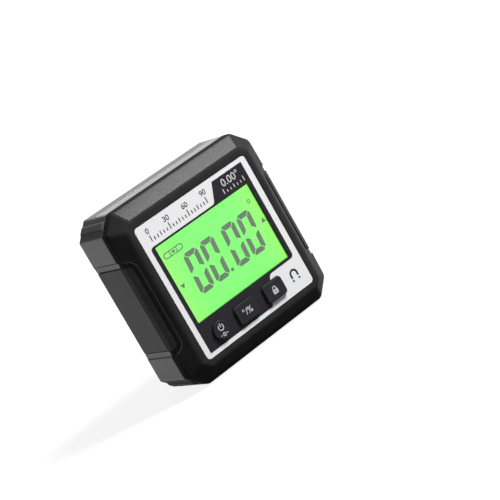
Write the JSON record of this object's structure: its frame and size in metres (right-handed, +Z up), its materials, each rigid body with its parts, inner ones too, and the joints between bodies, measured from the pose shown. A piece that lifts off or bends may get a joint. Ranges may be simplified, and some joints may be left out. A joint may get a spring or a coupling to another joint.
{
  "type": "digital angle gauge",
  "caption": "Square digital angle gauge with a backlit display, press keys, rubber side grips, a sliding battery door and a flat magnetic base.",
  "frame": {"origin": "middle of the bounding box at the height of the base face", "axes": "+X to the right seen from the front, +Y from the display to the back, +Z up from the base face"},
  "size_m": [0.058, 0.0248, 0.058],
  "materials": {
    "bezel_plastic": "fine-grained satin black",
    "housing_plastic": "fine-grained matt charcoal",
    "grip_rubber": "matt moulded rubber",
    "front_rubber": "matt moulded rubber, darker",
    "label_film": "printed film, white and black fields",
    "clear_window": "clear acrylic",
    "key_rubber": "matt rubber",
    "switch_plastic": "moulded",
    "polariser_film": "grey-green film",
    "display_glass": "backlit display glass",
    "white_plastic": "white moulding",
    "light_guide": "clear acrylic with dots",
    "led_package": "white package, yellow lens",
    "contact_rubber": "banded elastomer",
    "circuit_board": "green solder mask",
    "chip_plastic": "moulded package",
    "capacitor_ceramic": "brown ceramic",
    "bright_metal": "bright nickel plating",
    "screw_steel": "zinc-plated steel",
    "cell_sleeve": "plain printed sleeve"
  },
  "bodies": {
    "housing": {"front_bezel": "bezel_plastic", "rear_housing": "housing_plastic", "grip_left": "grip_rubber", "grip_right": "grip_rubber", "front_grip_left": "front_rubber", "front_grip_right": "front_rubber", "front_label": "label_film", "display_window": "clear_window", "switch_bodies": "switch_plastic", "front_polariser": "polariser_film", "lcd_panel": "display_glass", "rear_polariser": "polariser_film", "lcd_holder": "white_plastic", "light_guide": "light_guide", "reflector_sheet": "white_plastic", "backlight_leds": "led_package", "contact_strip": "contact_rubber", "main_board": "circuit_board", "controller_chip": "chip_plastic", "tilt_sensor": "chip_plastic", "crystal": "bright_metal", "capacitors": "capacitor_ceramic", "board_screws": "screw_steel", "housing_screws": "screw_steel", "upper_cell": "cell_sleeve", "lower_cell": "cell_sleeve", "positive_contact": "bright_metal", "negative_contact": "bright_metal", "bridge_contact": "bright_metal", "contact_springs": "screw_steel", "base_magnets": "bright_metal"},
    "power_key": {"power_button": "key_rubber", "power_plunger": "switch_plastic"},
    "unit_key": {"unit_button": "key_rubber", "unit_plunger": "switch_plastic"},
    "hold_key": {"hold_button": "key_rubber", "hold_plunger": "switch_plastic"},
    "door": {"battery_door": "housing_plastic"}
  },
  "joints": [
    {"name": "power_press", "type": "slide", "parent": "housing", "child": "power_key", "axis": [0, 1, 0], "range_m": [0, 0.0004], "stiffness_N_per_m": 1500, "springref_m": -0.0005},
    {"name": "unit_press", "type": "slide", "parent": "housing", "child": "unit_key", "axis": [0, 1, 0], "range_m": [0, 0.0004], "stiffness_N_per_m": 1500, "springref_m": -0.0005},
    {"name": "hold_press", "type": "slide", "parent": "housing", "child": "hold_key", "axis": [0, 1, 0], "range_m": [0, 0.0004], "stiffness_N_per_m": 1500, "springref_m": -0.0005},
    {"name": "door_slide", "type": "slide", "parent": "housing", "child": "door", "axis": [0, 0, 1], "range_m": [0, 0.036]}
  ]
}
